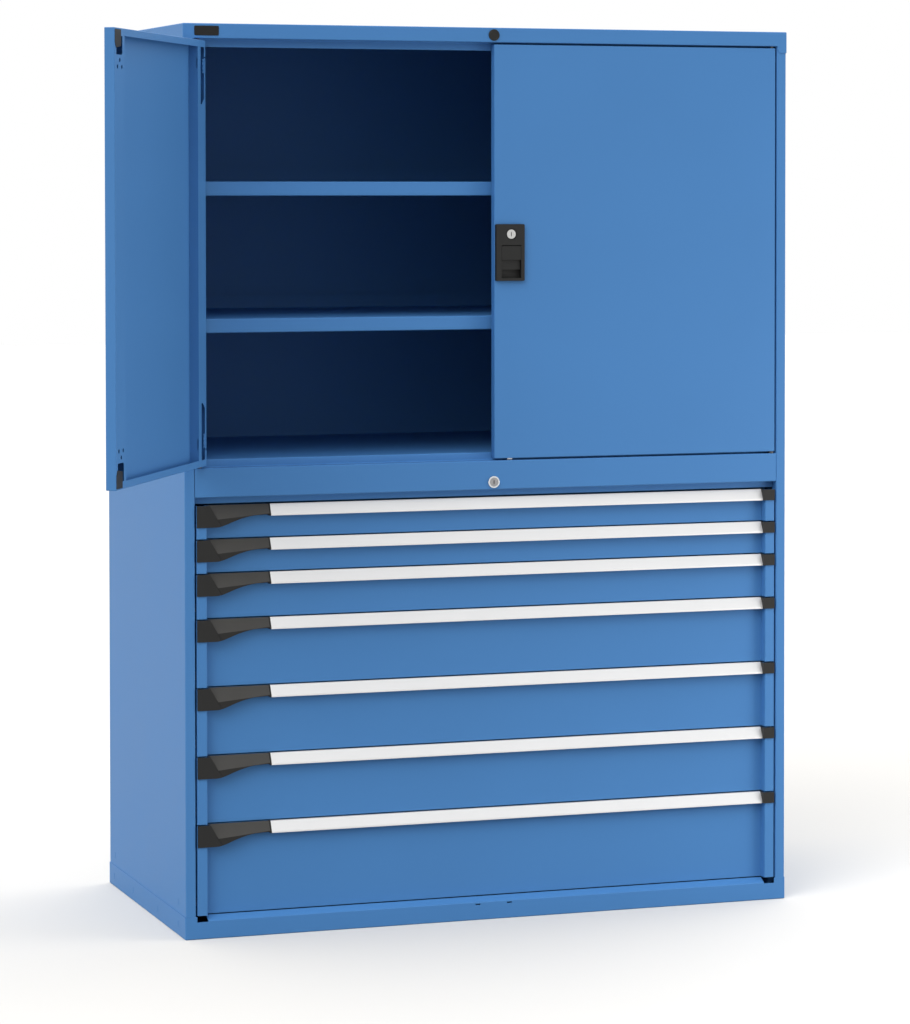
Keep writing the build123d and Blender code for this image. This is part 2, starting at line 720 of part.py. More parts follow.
# The handle's plate stands on the right-hand door. Its recess goes through the door's skin as a cup
# behind the paddle, and a boss over it holds the key cylinder.
plate_x = (door_free + 1.3, door_free + 69.3)
plate_height = 127.1
plate_drop = 1.5  # its middle, below the door's middle
plate_foot = door_middle - plate_drop - plate_height / 2
plate_z = (plate_foot, plate_foot + plate_height)
plate_thick = 9.0
plate_corner = 3.0
plate_edge = 1.5
recess_x = (plate_x[0] + 13.0, plate_x[1] - 8.6)
recess_z = (plate_z[0] + 6.3, plate_z[0] + 80.1)
cup_wall = 1.5
skin_fit = 0.2
key_x = plate_x[0] + 35.9
key_z = plate_z[1] - 22.4
key_radius = 10.25
key_ring = 13.5
key_ring_depth = 1.0
boss_radius = 12.5
cam_x = plate_x[0] + 31.2
cam_z = plate_z[0] + 55.3
cam_radius = 16.0
cam_gap = 1.0
cam_thick = 3.0
crank = 12.0  # from the cam's middle to its pin
crank_offset = crank * math.sin(math.radians(45))
cam_pin = 2.0
stud_radius = 4.0
paddle_y = front - 5.5
paddle_z = recess_z[1] - 3.8
paddle_round = 3.3
paddle_pin = 1.5
paddle_pin_length = 3.0
paddle_top = (plate_z[0] + 47.3, paddle_z)  # the plate that lies flush, up to the pivot
tongue_bottom = plate_z[0] + 25.3
tongue_set_back = 6.0
tongue_thick = 2.5
rod_thick = 4.0
rod_room = 3.3  # behind the rod, inside the door
rod_back = door_sheet_front - rod_room
rod_y = (rod_back - rod_thick, rod_back)
cam_back = rod_y[0] - cam_gap
cam_span = (cam_back - cam_thick, cam_back)
cup_back = cam_span[0] - cam_gap
recess_back = cup_back - cup_wall
rod_width = 12.0
rod_head = 16.0
rod_head_inset = 7.0  # its inner edge, from the crank pin towards the cam's middle
rod_overlap = 6.5  # past the crank pin
rod_end = 0.6  # short of the ledge
pin_play = 0.6  # around the cam's pin in the rod's slot
rod_slot_half = cam_pin + pin_play
rod_slot_x = (cam_x + crank_offset - rod_slot_half, cam_x + crank + rod_slot_half)
rod_head_left = cam_x + crank_offset - rod_head_inset
rod_x = (cam_x + crank_offset - rod_width / 2, cam_x + crank_offset + rod_width / 2)
rod_hole_gap = 1.0


def widened(span, amount):
    """A low and a high value, both moved outwards."""
    return (span[0] - amount, span[1] + amount)


with BuildPart() as door_right:
    door_pan(door_right)
    cup_x = widened(recess_x, cup_wall + skin_fit)
    cup_z = widened(recess_z, cup_wall + skin_fit)
    block(cup_x, (front - 1, front + bend), cup_z, Mode.SUBTRACT)
    bar((key_x, front - 1, key_z), (0, 1, 0), boss_radius + skin_fit, bend + 1, Mode.SUBTRACT)
    rod_hole = (door_bottom - 3, door_bottom + 3)
    block(widened(rod_x, rod_hole_gap), widened(rod_y, rod_hole_gap), rod_hole, Mode.SUBTRACT)
finish(door_right, "door_right")

with BuildPart() as shut_left:
    door_pan(shut_left)

left_hinge = Axis((-hinge_x, hinge_y, 0), (0, 0, 1))
for piece, name in ((shut_left, "door_left"), (guides, "door_left_guides")):
    shut = piece.part.mirror(Plane.YZ)
    with BuildPart() as opened:
        add(shut.rotate(left_hinge, -door_open))
    finish(opened, name)
finish(guides, "door_right_guides")

with BuildPart() as door_handle_plate:
    block(plate_x, (front - plate_thick, front), plate_z)
    fillet(door_handle_plate.edges().filter_by(Axis.Y), plate_corner)
    fillet(door_handle_plate.faces().sort_by(Axis.Y)[0].edges(), plate_edge)
    block(widened(recess_x, cup_wall), (front, cup_back), widened(recess_z, cup_wall))
    boss_back = cam_span[0]
    bar((key_x, front, key_z), (0, 1, 0), boss_radius, boss_back - front)
    block(recess_x, (front - plate_thick - 1, recess_back), recess_z, Mode.SUBTRACT)
    face_y = front - plate_thick
    bar((key_x, face_y - 1, key_z), (0, 1, 0), key_ring, key_ring_depth + 1, Mode.SUBTRACT)
    key_bore = key_radius + running_fit
    bar((key_x, face_y - 1, key_z), (0, 1, 0), key_bore, boss_back - face_y + 2, Mode.SUBTRACT)
    for edge, inward in zip(recess_x, (-1, 1)):
        pin_bore = paddle_pin + running_fit
        bar((edge, paddle_y, paddle_z), (inward, 0, 0), pin_bore, paddle_pin_length + 0.5, Mode.SUBTRACT)
    bar((cam_x, cup_back, cam_z), (0, 1, 0), stud_radius, cam_span[1] - cup_back)
finish(door_handle_plate, "door_handle_plate")

# The paddle lies flush in the plate; its lower tongue is set back for the fingers.
with BuildPart() as door_handle_paddle:
    paddle_x = widened(recess_x, -free_gap)
    block(paddle_x, (face_y, paddle_y + paddle_round), (paddle_top[0], paddle_z))
    bar((paddle_x[0], paddle_y, paddle_z), (1, 0, 0), paddle_round, paddle_x[1] - paddle_x[0])
    tongue_y = (face_y + tongue_set_back, face_y + tongue_set_back + tongue_thick)
    block(paddle_x, tongue_y, (tongue_bottom, paddle_top[0] + 1))
    pin_x = widened(recess_x, paddle_pin_length)
    bar((pin_x[0], paddle_y, paddle_z), (1, 0, 0), paddle_pin, pin_x[1] - pin_x[0])
finish(door_handle_paddle, "door_handle_paddle")

# The key cylinder turns in its boss; the tab on its tail points down at the cam when locked.
key_slot_width = 2.2
key_slot_height = 9.0
key_slot_depth = 6.0
tab_reach = 16.0
tab_half = 4.0
tab_thick = 2.0

with BuildPart() as door_lock_cylinder:
    tail_y = boss_back + cam_gap
    bar((key_x, face_y, key_z), (0, 1, 0), key_radius, tail_y - face_y)
    block((key_x - tab_half, key_x + tab_half), (tail_y, tail_y + tab_thick), (key_z - tab_reach, key_z))
    slot_x = (key_x - key_slot_width / 2, key_x + key_slot_width / 2)
    slot_z = (key_z - key_slot_height / 2, key_z + key_slot_height / 2)
    block(slot_x, (face_y - 1, face_y + key_slot_depth), slot_z, Mode.SUBTRACT)
finish(door_lock_cylinder, "door_lock_cylinder")

# The cam turns on the stud behind the cup and lifts the rod by its pin.
with BuildPart() as door_lock_cam:
    bar((cam_x, cam_span[0], cam_z), (0, 1, 0), cam_radius, cam_thick)
    stud_bore = stud_radius + running_fit
    bar((cam_x, cam_span[0] - 1, cam_z), (0, 1, 0), stud_bore, cam_thick + 2, Mode.SUBTRACT)
    pin_z = cam_z - crank_offset
    pin_foot = (cam_x + crank_offset, cam_span[0], pin_z)
    bar(pin_foot, (0, 1, 0), cam_pin, rod_y[1] + 1 - cam_span[0])
finish(door_lock_cam, "door_lock_cam")

# The rod hangs from the cam down to the ledge; its head has a slot across for the cam's pin.
with BuildPart() as door_lock_rod:
    rod_top = pin_z + rod_overlap
    block(rod_x, rod_y, (ledge + rod_end, rod_top))
    block((rod_head_left, rod_head_left + rod_head), rod_y, (pin_z - rod_overlap, rod_top))
    slot_z = (pin_z - rod_slot_half, pin_z + rod_slot_half)
    block(rod_slot_x, widened(rod_y, 1), slot_z, Mode.SUBTRACT)
finish(door_lock_rod, "door_lock_rod")

# ================================================================== drawer lock
# A chromed barrel sits in the cross rail. Its cylinder carries a crank pin that lifts the lock bar,
# whose hooks then stand in front of the drawers' lugs.
barrel_rim = 13.5
barrel_proud = 3.5
barrel_back = front + return_depth
barrel_nut = 15.0
barrel_nut_thick = 4.0
core_radius = 10.0
core_sunk = 0.5
crank_disc = 11.5
crank_disc_thick = 2.0
lift_radius = lock_lift / 2 * math.sqrt(2)
lift_pin = 2.5
lift_slot_half = lift_pin + 0.6
bar_plate = 3.0
bar_plate_z = (lock_z - 12.5, lock_z + 0.5)
bar_plate_left = -5.0
bar_foot = drawers_bottom + 8.0
bar_head = lock_z + 10.5
hook_tip = lug_reach - 10.0

with BuildPart() as drawer_lock_barrel:
    rim_front = front - barrel_proud
    bar((0, rim_front, lock_z), (0, 1, 0), barrel_rim, barrel_proud)
    fillet(drawer_lock_barrel.faces().sort_by(Axis.Y)[0].edges(), 1.0)
    bar((0, front, lock_z), (0, 1, 0), barrel_radius, return_depth)
    with BuildSketch(Plane.XZ.offset(-(front + sheet))) as nut:
        with Locations((0, lock_z)):
            RegularPolygon(barrel_nut, 6)
    extrude(nut.sketch, amount=-barrel_nut_thick)
    core_bore = core_radius + running_fit
    bar((0, rim_front - 1, lock_z), (0, 1, 0), core_bore, return_depth + 9, Mode.SUBTRACT)
finish(drawer_lock_barrel, "drawer_lock_barrel")

with BuildPart() as drawer_lock_cylinder:
    core_front = rim_front + core_sunk
    disc_front = barrel_back + cam_gap
    bar((0, core_front, lock_z), (0, 1, 0), core_radius, disc_front - core_front)
    bar((0, disc_front, lock_z), (0, 1, 0), crank_disc, crank_disc_thick)
    pin_foot = (lock_lift / 2, disc_front, lock_z - lock_lift / 2)
    bar(pin_foot, (0, 1, 0), lift_pin, bar_front + bar_plate + 2 - disc_front)
    slot_x = (-key_slot_width / 2, key_slot_width / 2)
    slot_z = (lock_z - key_slot_height / 2, lock_z + key_slot_height / 2)
    block(slot_x, (core_front - 1, core_front + key_slot_depth), slot_z, Mode.SUBTRACT)
finish(drawer_lock_cylinder, "drawer_lock_cylinder")

with BuildPart() as drawer_lock_bar:
    block((bar_inner, bar_outer), (bar_front, bar_back), (bar_foot, bar_head))
    block((bar_plate_left, bar_outer), (bar_front, bar_front + bar_plate), bar_plate_z)
    slot_x = (lock_lift / 2 - lift_pin - 0.5, lift_radius + lift_pin + 0.5)
    slot_z = (lock_z - lock_lift / 2 - lift_slot_half, lock_z - lock_lift / 2 + lift_slot_half)
    block(slot_x, (bar_front - 1, bar_front + bar_plate + 1), slot_z, Mode.SUBTRACT)
    for bottom in drawer_bottoms:
        hook_z = (bottom + hook_low, bottom + hook_low + hook_height)
        block((hook_tip, bar_inner), (bar_front, bar_back), hook_z)
finish(drawer_lock_bar, "drawer_lock_bar")

# ================================================================== pins and trim
# The doors turn on four pins: two hang in the top's plate, two stand in the deck's ledge on collars.
collar_radius = pin_radius + 2.0
pin_plate_half = pin_radius + 3.0  # plates welded behind the pins' roots, clear of the sheets' folds
pin_plate_y = (front + bend + free_gap, hinge_y + 11.0)
pin_plate_thick = 2.0
pin_reach = 14.0  # into the door
collar_gap = 0.3

with BuildPart() as hinge_pins:
    top_seat = opening_top + sheet
    pin_end = door_top - pin_reach
    bar((hinge_x, hinge_y, pin_end), (0, 0, 1), pin_radius, top_seat - pin_end)
    plate_span = (hinge_x - pin_plate_half, hinge_x + pin_plate_half)
    block(plate_span, pin_plate_y, (top_seat, top_seat + pin_plate_thick))
    low_seat = ledge - sheet
    pin_end = door_bottom + pin_reach
    bar((hinge_x, hinge_y, low_seat), (0, 0, 1), pin_radius, pin_end - low_seat)
    block(plate_span, pin_plate_y, (low_seat - pin_plate_thick, low_seat))
    bar((hinge_x, hinge_y, ledge), (0, 0, 1), collar_radius, door_clearance - collar_gap)
    mirror(about=Plane.YZ)
finish(hinge_pins, "hinge_pins")

# On the top's front flange: a round plug and a blank plate.
plug_x = 0.9
plug_radius = 12.75
plug_proud = 2.0
plug_edge = 1.2
label_inset = 25.5  # from the cabinet's side
label_length = 55.0
label_x = (label_inset - half_width, label_inset - half_width + label_length)
label_z = (height - 26.6, height - 5.4)
label_thick = 1.5
flange_middle = height - top_flange / 2

with BuildPart() as top_plug:
    flange_face = front - sheet
    bar((plug_x, flange_face, flange_middle), (0, -1, 0), plug_radius, plug_proud)
    fillet(top_plug.faces().sort_by(Axis.Y)[0].edges(), plug_edge)
finish(top_plug, "top_plug")

with BuildPart() as top_label:
    block(label_x, (flange_face - label_thick, flange_face), label_z)
finish(top_label, "top_label")
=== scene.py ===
"""Looks of the tool cabinet: painted steel, plastic, aluminium and lock pieces, floor and light."""

import math

import bpy
import numpy as np
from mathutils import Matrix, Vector


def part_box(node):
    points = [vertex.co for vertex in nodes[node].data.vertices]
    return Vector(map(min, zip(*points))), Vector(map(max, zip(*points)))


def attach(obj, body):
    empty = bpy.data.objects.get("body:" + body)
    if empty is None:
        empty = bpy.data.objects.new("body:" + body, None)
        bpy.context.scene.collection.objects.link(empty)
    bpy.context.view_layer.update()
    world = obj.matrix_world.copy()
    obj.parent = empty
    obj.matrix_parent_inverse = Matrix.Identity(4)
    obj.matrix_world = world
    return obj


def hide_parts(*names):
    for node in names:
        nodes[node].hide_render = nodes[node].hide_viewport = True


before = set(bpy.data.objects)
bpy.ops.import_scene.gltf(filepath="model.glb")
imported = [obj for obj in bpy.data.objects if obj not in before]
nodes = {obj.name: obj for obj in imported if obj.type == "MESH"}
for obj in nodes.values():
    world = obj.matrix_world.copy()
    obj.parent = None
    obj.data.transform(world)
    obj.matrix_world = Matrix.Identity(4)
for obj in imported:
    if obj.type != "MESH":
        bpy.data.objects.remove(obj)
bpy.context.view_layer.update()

# ---------------------------------------------------------------- base tray
# A tray folded from 1.5 mm steel that the whole cabinet stands in, welded at its corners. Like all
# the sheet metal it is powder coated light blue: a hard semi-gloss skin with a fine orange peel.
coat_blue = (0.066, 0.220, 0.508, 1.0)


def shader(name):
    """A new material, its shader, and a function that adds other nodes and wires them up."""
    material = bpy.data.materials.new(name)
    material.use_nodes = True
    tree = material.node_tree
    surface = tree.nodes["Principled BSDF"]

    def add(kind, inputs=None, **settings):
        """Adds a node; an input is a value, or another node's output to link."""
        node = tree.nodes.new(kind)
        for key, value in settings.items():
            setattr(node, key, value)
        for key, value in (inputs or {}).items():
            if isinstance(value, bpy.types.NodeSocket):
                tree.links.new(value, node.inputs[key])
            else:
                node.inputs[key].default_value = value
        return node

    def wire(**outputs):
        """Links outputs to the shader; an underscore in a name stands for a space."""
        for key, value in outputs.items():
            socket = surface.inputs[key.replace("_", " ")]
            if isinstance(value, bpy.types.NodeSocket):
                tree.links.new(value, socket)
            else:
                socket.default_value = value

    return material, add, wire


def tinted(add, colour, amount, low, high):
    """A colour times a brightness that runs from low to high as an amount runs from 0 to 1."""
    shade = add("ShaderNodeMapRange", {"Value": amount, "To Min": low, "To Max": high})
    channels = {channel: shade.outputs["Result"] for channel in ("Red", "Green", "Blue")}
    grey = add("ShaderNodeCombineColor", channels)
    mixed = add(
        "ShaderNodeMix", {"Factor": 1.0, "A": colour}, data_type="RGBA", blend_type="MULTIPLY"
    )
    mixed.id_data.links.new(grey.outputs["Color"], mixed.inputs["B"])
    return mixed.outputs["Result"]


def powder_coat(name, colour):
    """Paint: a faint mottle in colour and gloss, and an orange-peel bump about 2 mm across."""
    material, add, wire = shader(name)
    place = add("ShaderNodeTexCoord").outputs["Object"]
    cloud = add("ShaderNodeTexNoise", {"Vector": place, "Scale": 2.6, "Detail": 4.0}).outputs["Fac"]
    peel = add(
        "ShaderNodeTexNoise", {"Vector": place, "Scale": 460.0, "Detail": 1.5}
    ).outputs["Fac"]
    gloss = add("ShaderNodeMapRange", {"Value": cloud, "To Min": 0.46, "To Max": 0.54})
    bump = add("ShaderNodeBump", {"Height": peel, "Strength": 0.08, "Distance": 0.0003})
    wire(
        Base_Color=tinted(add, colour, cloud, 0.95, 1.05),
        Roughness=gloss.outputs["Result"],
        IOR=1.32,
        Normal=bump.outputs["Normal"],
    )
    return material


def finish_nodes(material, *names):
    """Gives CAD nodes their material."""
    for name in names:
        mesh = nodes[name].data
        mesh.materials.clear()
        mesh.materials.append(material)


blue = powder_coat("blue powder coat", coat_blue)
finish_nodes(blue, "base_tray")

# ---------------------------------------------------------------- side panels and back
# The sides are folded sheets with flanges at the front and the back, spot welded to the base tray
# and the top; the back is a flat sheet between them. All three carry the same paint.
finish_nodes(blue, "side_panel_left", "side_panel_right", "back_panel")

# ---------------------------------------------------------------- slotted uprights
# Four folded posts with a slot every 25 mm stand inside the sides, painted with the carcass. The
# shelves' tabs and the drawers' rails hook into the slots.
finish_nodes(blue, "slotted_uprights")

# ---------------------------------------------------------------- deck
# One folded sheet makes the compartment's floor, the step behind the doors and the cross rail over
# the drawers. It is welded to the side panels and painted with them.
finish_nodes(blue, "middle_deck")

# ---------------------------------------------------------------- shelves
# Two shelves folded from 1.2 mm steel, with a deep lip at the front and an upstand at the back.
# They lift out of the uprights' slots.
finish_nodes(blue, "shelf_lower", "shelf_upper")

# ---------------------------------------------------------------- top
# A shallow tray turned over the sides. Its front flange folds back into the plate that the doors'
# upper pins hang in.
finish_nodes(blue, "top_panel")

# ---------------------------------------------------------------- drawer rails
# The fixed members of the slides, rolled from strip steel and zinc plated. Bright zinc is a pale
# bluish grey that clouds where it was rinsed, with a fine drawn grain along the strip.


def zinc_plate(name, grain=(900.0, 14.0, 900.0)):
    """Zinc: bluish grey metal, cloudy in tone and gloss, with a fine grain along one axis."""
    material, add, wire = shader(name)
    place = add("ShaderNodeTexCoord").outputs["Object"]
    along = add("ShaderNodeMapping", {"Vector": place, "Scale": grain}).outputs["Vector"]
    lines = add("ShaderNodeTexNoise", {"Vector": along, "Scale": 1.0, "Detail": 2.0}).outputs["Fac"]
    cloud = add(
        "ShaderNodeTexNoise", {"Vector": place, "Scale": 22.0, "Detail": 4.0}
    ).outputs["Fac"]
    gloss = add("ShaderNodeMapRange", {"Value": cloud, "To Min": 0.26, "To Max": 0.46})
    bump = add("ShaderNodeBump", {"Height": lines, "Strength": 0.12, "Distance": 0.0001})
    wire(
        Base_Color=tinted(add, (0.60, 0.62, 0.65, 1.0), cloud, 0.86, 1.10),
        Metallic=1.0,
        Roughness=gloss.outputs["Result"],
        Normal=bump.outputs["Normal"],
    )
    return material


zinc = zinc_plate("zinc plated strip")
finish_nodes(zinc, "drawer_rails")

# ---------------------------------------------------------------- drawers
# Seven trays of 1.2 mm steel, painted with the carcass. Their zinc plated middle slide members run
# between the fixed members and the flanges on the trays' sides.
drawers = range(1, 8)
finish_nodes(blue, *(f"drawer_{number}_tray" for number in drawers))
finish_nodes(zinc, *(f"drawer_{number}_slides" for number in drawers))

# ---------------------------------------------------------------- pulls
# Each pull is a length of extruded aluminium, clear anodised to a satin, clipped between the black
# end plates. The die leaves fine lines along it.


def satin_aluminium(name):
    """Aluminium: light metal with die lines along X that vary its gloss and ripple its surface."""
    material, add, wire = shader(name)
    place = add("ShaderNodeTexCoord").outputs["Object"]
    along = add(
        "ShaderNodeMapping", {"Vector": place, "Scale": (2.5, 1400.0, 1400.0)}
    ).outputs["Vector"]
    lines = add("ShaderNodeTexNoise", {"Vector": along, "Scale": 1.0, "Detail": 3.0}).outputs["Fac"]
    cloud = add("ShaderNodeTexNoise", {"Vector": place, "Scale": 9.0, "Detail": 3.0}).outputs["Fac"]
    gloss = add("ShaderNodeMapRange", {"Value": lines, "To Min": 0.30, "To Max": 0.42})
    bump = add("ShaderNodeBump", {"Height": lines, "Strength": 0.10, "Distance": 0.00008})
    wire(
        Base_Color=tinted(add, (0.79, 0.79, 0.79, 1.0), cloud, 0.97, 1.03),
        Metallic=0.45,
        Roughness=gloss.outputs["Result"],
        Normal=bump.outputs["Normal"],
    )
    return material


aluminium = satin_aluminium("satin aluminium")
finish_nodes(aluminium, *(f"drawer_{number}_handle" for number in drawers))

# ---------------------------------------------------------------- end caps and latch levers
# Black polyamide mouldings: the caps are screwed to both ends of each drawer front, and the lever
# turns between them on two stubs. The mould was eroded to a fine even grain.


def moulded_plastic(name, colour, rough, upright_shade=1.0):
    """Plastic: near-black, with a fine grain as a bump and a faint cloud in its gloss and colour.

    The colour is that of faces that lean upwards and holds a painted highlight, as if lit from
    above. Upright faces are darker, a painted shade, by the factor given for upright faces.
    """
    material, add, wire = shader(name)
    place = add("ShaderNodeTexCoord").outputs
    there = place["Object"]
    grain = add("ShaderNodeTexVoronoi", {"Vector": there, "Scale": 1500.0}).outputs["Distance"]
    cloud = add(
        "ShaderNodeTexNoise", {"Vector": there, "Scale": 30.0, "Detail": 4.0}
    ).outputs["Fac"]
    gloss = add(
        "ShaderNodeMapRange", {"Value": cloud, "To Min": rough - 0.04, "To Max": rough + 0.05}
    )
    bump = add("ShaderNodeBump", {"Height": grain, "Strength": 0.15, "Distance": 0.00012})
    # Painted highlight on upward faces and painted shade on upright ones, as if lit from above.
    lean = add("ShaderNodeSeparateXYZ", {"Vector": place["Normal"]}).outputs["Z"]
    painted_top_light = add(
        "ShaderNodeMapRange", {"Value": lean, "From Min": 0.15, "From Max": 0.45, "To Min": upright_shade}
    ).outputs["Result"]
    cloudy = add(
        "ShaderNodeMapRange", {"Value": cloud, "To Min": 0.80, "To Max": 1.0}
    ).outputs["Result"]
    shade = add("ShaderNodeMath", {0: painted_top_light, 1: cloudy}, operation="MULTIPLY").outputs["Value"]
    wire(
        Base_Color=tinted(add, colour, shade, 0.0, 1.0),
        Roughness=gloss.outputs["Result"],
        IOR=1.33,
        Normal=bump.outputs["Normal"],
    )
    return material


black = moulded_plastic("black grained plastic", (0.016, 0.016, 0.0155, 1.0), 0.46)
# The levers' pale colour is a painted highlight on their upward faces; upright faces get a painted
# shade.
lever_black = moulded_plastic("lever plastic", (0.062, 0.060, 0.056, 1.0), 0.50, upright_shade=0.24)
finish_nodes(black, *(f"drawer_{number}_caps" for number in drawers))
finish_nodes(lever_black, *(f"drawer_{number}_latch" for number in drawers))

# ---------------------------------------------------------------- doors
# Two pans of 1.2 mm steel with box sections along both upright edges, painted inside and out. Black
# plastic guides fill the corners of the free edge.
finish_nodes(blue, "door_right", "door_left")
finish_nodes(black, "door_right_guides", "door_left_guides")

# ---------------------------------------------------------------- door handle
# A moulded black plate with a cup behind its paddle. The paddle turns on two pins at its top and
# has a set-back tongue for the fingers.
finish_nodes(black, "door_handle_plate", "door_handle_paddle")

# ---------------------------------------------------------------- door lock
# The key cylinder is nickel plated and turned, so its face carries fine rings round its axis. The
# cam and the rod behind the plate are zinc plated.


ring_waves = 22000.0  # radians per metre: a ring every 0.29 mm


def turned_metal(name, colour, x, z, rough):
    """Turned metal: ripples, the sine of ring_waves times the distance from an axis along Y."""
    material, add, wire = shader(name)
    place = add("ShaderNodeTexCoord").outputs["Object"]
    flat = add(
        "ShaderNodeVectorMath", {0: place, 1: (x, 0.0, z)}, operation="SUBTRACT"
    ).outputs["Vector"]
    across = add("ShaderNodeVectorMath", {0: flat, 1: (1.0, 0.0, 1.0)}, operation="MULTIPLY")
    reach = add(
        "ShaderNodeVectorMath", {0: across.outputs["Vector"]}, operation="LENGTH"
    ).outputs["Value"]
    turns = add("ShaderNodeMath", {0: reach, 1: ring_waves}, operation="MULTIPLY").outputs["Value"]
    rings = add("ShaderNodeMath", {0: turns}, operation="SINE").outputs["Value"]
    cloud = add(
        "ShaderNodeTexNoise", {"Vector": place, "Scale": 160.0, "Detail": 3.0}
    ).outputs["Fac"]
    gloss = add(
        "ShaderNodeMapRange", {"Value": cloud, "To Min": rough - 0.04, "To Max": rough + 0.06}
    )
    bump = add("ShaderNodeBump", {"Height": rings, "Strength": 0.08, "Distance": 0.00003})
    wire(
        Base_Color=tinted(add, colour, cloud, 0.94, 1.05),
        Metallic=0.9,
        Roughness=gloss.outputs["Result"],
        Normal=bump.outputs["Normal"],
    )
    return material


key_place = [sum(ends) / 2 for ends in zip(*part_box("door_lock_cylinder"))]
key_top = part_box("door_lock_cylinder")[1][2]
key_radius = 0.01025
key_z = key_top - key_radius
nickel = turned_metal("turned nickel", (0.54, 0.54, 0.53, 1.0), key_place[0], key_z, 0.30)
finish_nodes(nickel, "door_lock_cylinder")
finish_nodes(zinc, "door_lock_cam", "door_lock_rod")

# ---------------------------------------------------------------- drawer lock
# A chromed barrel is held in the cross rail by a nut. Its brushed cylinder lifts the zinc plated
# lock bar, whose hooks then stand in front of the drawers' lugs.
barrel_low, barrel_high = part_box("drawer_lock_barrel")
lock_z = (barrel_low[2] + barrel_high[2]) / 2
chrome = turned_metal("chromed barrel", (0.62, 0.65, 0.68, 1.0), 0.0, lock_z, 0.17)
finish_nodes(chrome, "drawer_lock_barrel")
brushed = turned_metal("brushed lock cylinder", (0.30, 0.30, 0.31, 1.0), 0.0, lock_z, 0.30)
finish_nodes(brushed, "drawer_lock_cylinder")
finish_nodes(zinc_plate("zinc plated bar", (900.0, 900.0, 14.0)), "drawer_lock_bar")

# ---------------------------------------------------------------- hinge pins
# Steel pins, turned and burnished dark, with small plates welded behind their roots. The lower pins
# carry the doors on collars.
burnished = turned_metal("burnished steel", (0.070, 0.072, 0.078, 1.0), 0.0, 0.0, 0.42)
finish_nodes(burnished, "hinge_pins")

# ---------------------------------------------------------------- plug in the top's flange
# A moulded plug that snaps into a hole in the top's front flange: a flat rim round a shallow dished
# middle with one raised ring.
plug_low, plug_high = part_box("top_plug")
plug_middle = ((plug_low[0] + plug_high[0]) / 2, plug_high[1], (plug_low[2] + plug_high[2]) / 2)


def grid_piece(name, points, material, body):
    """A smooth mesh over a closed-round grid of points, shaped (rows, columns, 3), in place."""
    rows, columns = points.shape[:2]
    start = np.arange(rows - 1)[:, None] * columns
    here = np.arange(columns)[None, :]
    right = (here + 1) % columns
    below = start + columns
    faces = np.stack([start + here, below + here, below + right, start + right], -1)
    mesh = bpy.data.meshes.new(name)
    mesh.from_pydata(points.reshape(-1, 3).tolist(), [], faces.reshape(-1, 4).tolist())
    mesh.polygons.foreach_set("use_smooth", np.ones(len(mesh.polygons), dtype=bool))
    mesh.materials.append(material)
    piece = bpy.data.objects.new(name, mesh)
    bpy.context.scene.collection.objects.link(piece)
    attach(piece, body)
    return piece


def turned_surface(middle, reach, proud, columns=64):
    """A profile turned about an axis along Y.

    Reach is each row's radius and proud its height over the flange, both in millimetres.
    """
    angle = np.linspace(0, 2 * math.pi, columns, endpoint=False)[None, :]
    reach, proud = np.array(reach)[:, None] / 1000, np.array(proud)[:, None] / 1000
    x = middle[0] + reach * np.cos(angle)
    y = middle[1] - proud + 0 * angle
    z = middle[2] + reach * np.sin(angle)
    return np.stack(np.broadcast_arrays(x, y, z), -1)


plug_reach = (
    *(0.01, 3.0, 6.0, 8.0, 8.3, 8.7, 9.0, 9.3, 9.6),
    *(10.4, 11.2, 12.0, 12.4, 12.65, 12.75, 12.75, 0.01),
)
plug_proud = (
    *(1.05, 1.05, 1.1, 1.15, 1.2, 1.6, 1.75, 1.6, 1.3),
    *(1.4, 1.9, 2.0, 1.9, 1.6, 1.1, 0.0, 0.0),
)
plug = grid_piece("plug", turned_surface(plug_middle, plug_reach, plug_proud), black, "carcass")
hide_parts("top_plug")

# ---------------------------------------------------------------- blank name plate
# A small black plate stuck to the left end of the top's flange. Its face is slightly domed and its
# corners are rounded; it carries no name.
plate_low, plate_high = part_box("top_label")
plate_corner = 0.0014


def plate_surface(low, high, corner, columns=96):
    """A rounded rectangle, swept from its middle out over a rolled edge and back behind.

    Along each ray the outline is that of a superellipse of power 2 * half width / corner, so its
    straight sides run into round corners; scale shrinks it and proud is the height of each row.
    """
    angle = np.linspace(0, 2 * math.pi, columns, endpoint=False)[None, :]
    half = [(high[axis] - low[axis]) / 2 for axis in (0, 2)]
    power = 2 * half[1] / corner
    ray = (np.abs(np.cos(angle)) ** power + np.abs(np.sin(angle)) ** power) ** (-1 / power)
    scale = np.array((0.001, 0.35, 0.7, 0.9, 0.955, 0.982, 0.995, 1.0, 1.0, 0.001))[:, None]
    proud = np.array((1.0, 0.985, 0.94, 0.88, 0.84, 0.74, 0.58, 0.40, 0.0, 0.0))[:, None]
    x = (low[0] + high[0]) / 2 + scale * half[0] * ray * np.cos(angle)
    y = high[1] - proud * (high[1] - low[1]) + 0 * angle
    z = (low[2] + high[2]) / 2 + scale * half[1] * ray * np.sin(angle)
    return np.stack(np.broadcast_arrays(x, y, z), -1)


plate_black = moulded_plastic("satin black plate", (0.008, 0.008, 0.008, 1.0), 0.36)
plate_points = plate_surface(plate_low, plate_high, plate_corner)
name_plate = grid_piece("name_plate", plate_points, plate_black, "carcass")
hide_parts("top_label")

